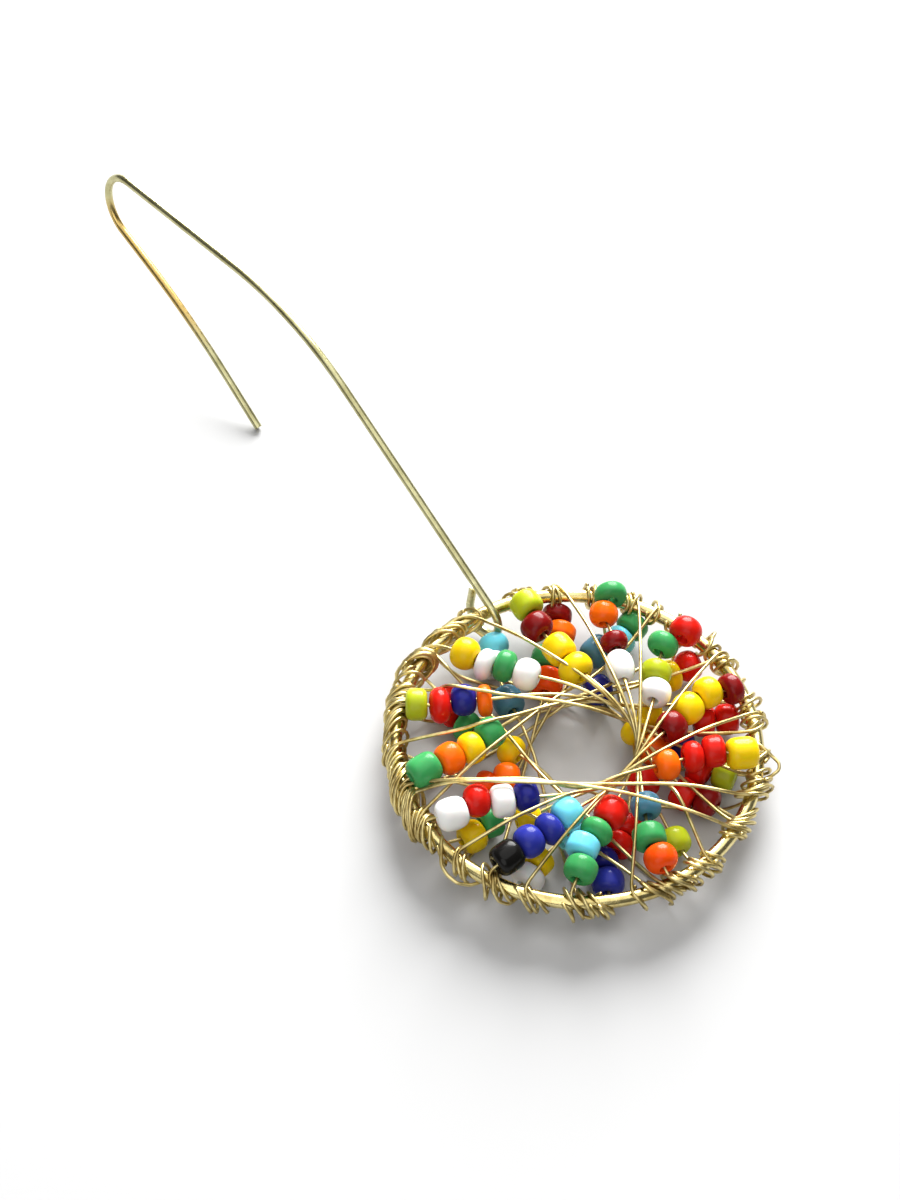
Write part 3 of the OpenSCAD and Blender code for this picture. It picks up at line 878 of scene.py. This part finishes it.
def turnsFrom(angle, face, turns, way, layer, dice):
    # starts on top (face 1) or beneath (face -1) and goes round outward
    zone = zoneAt(angle)
    pitch = way * dice.uniform(*zone["pitch"])
    lean = dice.uniform(*zone["lean"])
    slack = dice.uniform(*zone["slack"])
    reach = hoop["wire"] / 2 + thinWire["across"] / 2 + wraps["play"] + layer * wraps["layer"]
    base = face * 90
    start = lean * math.cos(math.radians(base - wraps["leanSide"]))
    phase = dice.uniform(0, 6.28)      # radians, about a whole turn
    run = []
    for i in range(1, int(turns * wraps["stepsPerTurn"]) + 1):
        turn = i / wraps["stepsPerTurn"]
        around = base - face * 360 * turn
        wander = math.sin(turn * wraps["wanderRate"] + phase) - math.sin(phase)
        bend = lean * (1 + wraps["wander"] * wander * min(1, turn * 2))
        swing = bend * math.cos(math.radians(around - wraps["leanSide"])) - start
        hang = slack * (1 + wraps["slackSwing"] * math.sin(turn * wraps["slackRate"] + phase))
        under = max(0, math.cos(math.radians(around - wraps["slackSide"])))
        hang *= under ** wraps["slackFocus"]
        ripple = wraps["ripple"] * math.sin(turn * wraps["rippleRate"] + phase)
        loose = reach * (1 + hang + ripple + wraps["looser"])
        run.append(hoopPoint(angle + pitch * turn + swing, around, loose))
    return run


class RimSpace:
    # keeps count of which stretches of the hoop are wound already
    def __init__(self):
        self.taken = []

    def place(self, angle, turns):
        # the lowest layer that is free on one side of the strand, and that side
        reach = turns * max(zoneAt(angle)["pitch"])
        for layer in range(wraps["topLayer"] + 1):
            for way in (1, -1):
                low = min(angle, angle + way * reach) - wraps["apart"]
                high = max(angle, angle + way * reach) + wraps["apart"]
                if low < wraps["eyeEnd"] and high > wraps["eyeStart"]:
                    continue
                clash = any(l == layer and low < b and high > a for a, b, l in self.taken)
                if not clash:
                    self.taken.append((low, high, layer))
                    return layer, way
        return wraps["topLayer"], 1


def windEnd(line, face, space, dice):
    # adds the turns with which a strand's last end is made fast
    angle = rimAngle(line[-1])
    turns = dice.choice(zoneAt(angle)["turns"])
    layer, way = space.place(angle, turns)
    if layer == wraps["topLayer"]:
        return line
    run = turnsFrom(angle, face, turns, way, layer, dice)
    whole = np.concatenate([line, np.array(run)])
    joint = slice(len(line) - wraps["joinBefore"], len(line) + wraps["joinAfter"])
    whole[joint] = ease(whole[joint], wraps["joinEase"])
    return whole


def laidLine(look, seats):
    reach = hoop["wire"] / 2 + thinWire["across"] / 2 + wraps["play"]
    points = [hoopPoint(look["from"], 90, reach)]
    points += [(x * mm, y * mm, hoop["height"] + z * mm) for x, y, z in look["through"]]
    points.append(hoopPoint(look["to"], 90, reach))
    line = evenly(points, thinWire["step"])
    for again in range(thinWire["drapes"]):
        line = ease(laidOver(ease(line, thinWire["drapeEase"]), seats), 1)
    return line


def buildStrands(golds, seats, strings):
    dice = random.Random(thinWire["seed"])
    space = RimSpace()
    faces = ((1, "front_wires", "front_strands"), (-1, "back_wires", "back_strands"))
    for face, solid, name in faces:
        lines = [bowed(string["line"], dice.uniform(-1, 1) * thinWire["bow"])
                 for string in strings if string["face"] == face]
        if face == 1:
            lines += [laidLine(look, seats) for look in laidStrands]
        runs = []
        for line in lines:
            for end in (0, 1):
                line = windEnd(line, face, space, dice)[::-1]
            runs.append(line)
        piece = wireMesh(name, runs, thinWire["across"], thinWire["sides"])
        piece.data.materials.append(golds["thin_wire"])
        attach(piece, "root")
        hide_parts(solid)
        print("wound", len(runs), name)
    return space


def buildWraps(golds, space):
    # turns that fill what the strands' ends left bare, and the stray loops
    dice = random.Random(wraps["seed"])
    runs = []
    angle = wraps["fillFrom"]
    while angle < wraps["fillTo"]:
        zone = zoneAt(angle)
        turns = dice.choice(zone["turns"])
        layer, way = space.place(angle, turns)
        if layer < wraps["fillLayers"]:
            face = dice.choice((1, -1))
            first = [hoopPoint(angle, face * 90, hoop["wire"] / 2 + thinWire["across"] / 2)]
            runs.append(np.array(first + turnsFrom(angle, face, turns, way, layer, dice)))
        angle += dice.uniform(*zone["gap"])
    clusters = len(runs)
    for loop in strayLoops:
        bends = [hoopPoint(at, around, reach * mm) for at, around, reach in loop]
        line = evenly(bends, thinWire["step"] / wraps["strayFiner"])
        runs.append(ease(line, wraps["strayEase"]))
    piece = wireMesh("wound_turns", runs, thinWire["across"], thinWire["sides"])
    piece.data.materials.append(golds["thin_wire"])
    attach(piece, "root")
    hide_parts("rim_wraps")
    print("wound", clusters, "more clusters round the hoop and", len(strayLoops), "stray loops")


buildStudio()
golds = {name: goldMaterial(name, look) for name, look in metals.items()}
finishHoopAndHook(golds)
seats, strings = readStrings()
for string in strings:
    settleString(string)
addInnerBead(seats, strings)
buildBeads(seats)
space = buildStrands(golds, seats, strings)
buildWraps(golds, space)

deselectAll()
print("earring ready")
